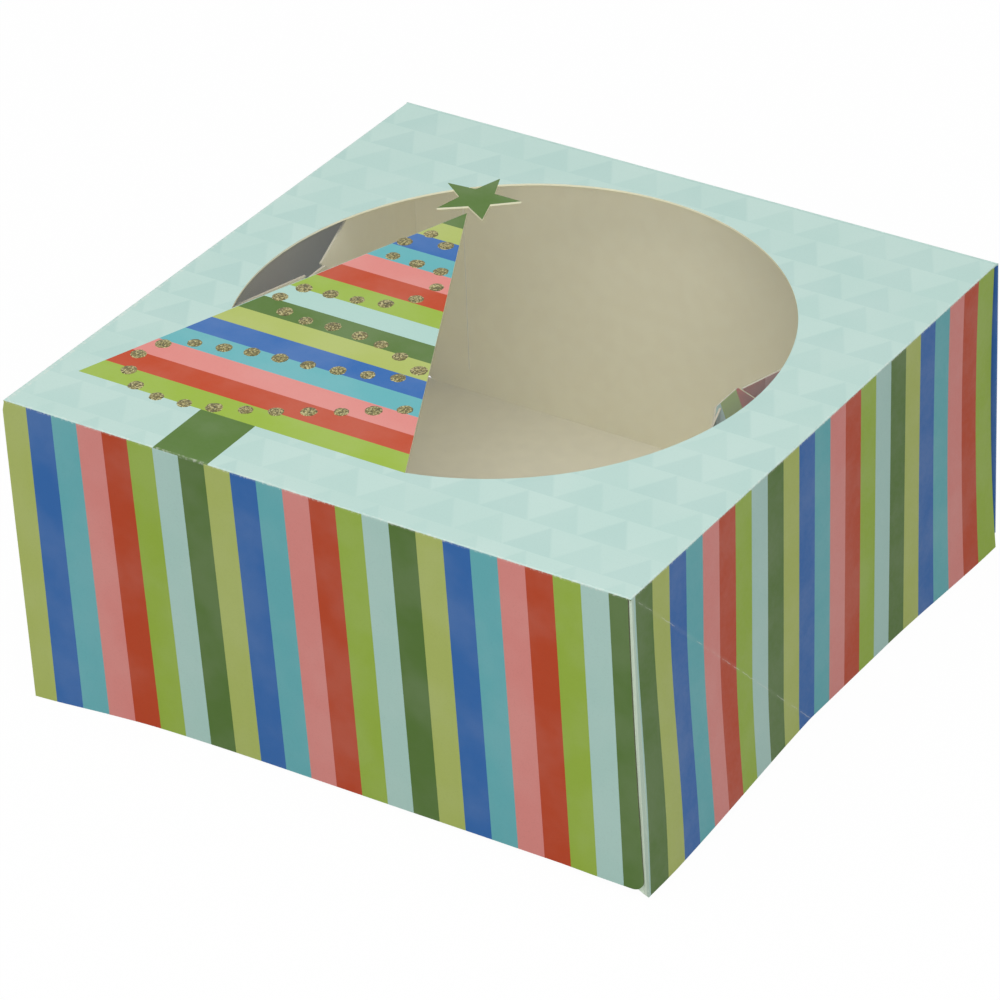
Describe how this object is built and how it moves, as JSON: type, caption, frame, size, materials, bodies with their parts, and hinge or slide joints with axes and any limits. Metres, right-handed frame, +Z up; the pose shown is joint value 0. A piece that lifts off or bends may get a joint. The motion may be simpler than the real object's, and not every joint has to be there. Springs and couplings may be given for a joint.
{
  "type": "windowed paperboard sweet box",
  "caption": "Square paperboard sweet box with a hinged windowed lid over a tray with folding side walls.",
  "frame": {"origin": "middle of the closed box's footprint, on the face that it stands on", "axes": "+Z up, -Y towards the front flap, +X towards the right side"},
  "size_m": [0.1608, 0.1602, 0.0762],
  "materials": {
    "top_board": "coated paperboard printed with pale triangles",
    "striped_board": "coated paperboard printed with upright stripes",
    "plain_board": "uncoated inside of the paperboard",
    "clear_film": "clear window film"
  },
  "bodies": {
    "tray": {"tray_floor": "plain_board", "tray_front_wall": "striped_board", "tray_back_wall": "striped_board", "tray_left_front_glue_tab": "plain_board", "tray_left_back_glue_tab": "plain_board", "tray_right_front_glue_tab": "plain_board", "tray_right_back_glue_tab": "plain_board"},
    "lid": {"lid_panel": "top_board", "window_film": "clear_film", "lid_front_flap": "striped_board", "lid_left_glue_tab": "plain_board", "lid_left_corner": "striped_board", "lid_left_flap": "striped_board", "lid_right_glue_tab": "plain_board", "lid_right_corner": "striped_board", "lid_right_flap": "striped_board"},
    "left_wall": {"tray_left_wall": "striped_board"},
    "left_front_gusset": {"tray_left_front_gusset": "striped_board"},
    "left_back_gusset": {"tray_left_back_gusset": "striped_board"},
    "right_wall": {"tray_right_wall": "striped_board"},
    "right_front_gusset": {"tray_right_front_gusset": "striped_board"},
    "right_back_gusset": {"tray_right_back_gusset": "striped_board"}
  },
  "joints": [
    {"name": "lid_hinge", "type": "hinge", "parent": "tray", "child": "lid", "pos_m": [0, 0.07913, 0.07595], "axis": [-1, 0, 0], "range_deg": [0, 180]},
    {"name": "left_wall_fold", "type": "hinge", "parent": "tray", "child": "left_wall", "pos_m": [-0.07701, 0, 0.00025], "axis": [0, -1, 0], "range_deg": [0, 16]},
    {"name": "left_front_gusset_fold", "type": "hinge", "parent": "tray", "child": "left_front_gusset", "pos_m": [-0.0782, -0.07502, 0], "axis": [0, 0, 1], "range_deg": [0, 14.75]},
    {"name": "left_back_gusset_fold", "type": "hinge", "parent": "tray", "child": "left_back_gusset", "pos_m": [-0.0782, 0.07863, 0], "axis": [0, 0, -1], "range_deg": [0, 16.68]},
    {"name": "right_wall_fold", "type": "hinge", "parent": "tray", "child": "right_wall", "pos_m": [0.07701, 0, 0.00025], "axis": [0, 1, 0], "range_deg": [0, 20]},
    {"name": "right_front_gusset_fold", "type": "hinge", "parent": "tray", "child": "right_front_gusset", "pos_m": [0.0782, -0.07502, 0], "axis": [0, 0, -1], "range_deg": [0, 18.41]},
    {"name": "right_back_gusset_fold", "type": "hinge", "parent": "tray", "child": "right_back_gusset", "pos_m": [0.0782, 0.07863, 0], "axis": [0, 0, 1], "range_deg": [0, 20.86]}
  ],
  "couplings": [
    {"joint": "left_front_gusset_fold", "follows": "left_wall_fold", "ratio": 0.92096},
    {"joint": "left_back_gusset_fold", "follows": "left_wall_fold", "ratio": 1.0417},
    {"joint": "right_front_gusset_fold", "follows": "right_wall_fold", "ratio": 0.91989},
    {"joint": "right_back_gusset_fold", "follows": "right_wall_fold", "ratio": 1.0424}
  ]
}
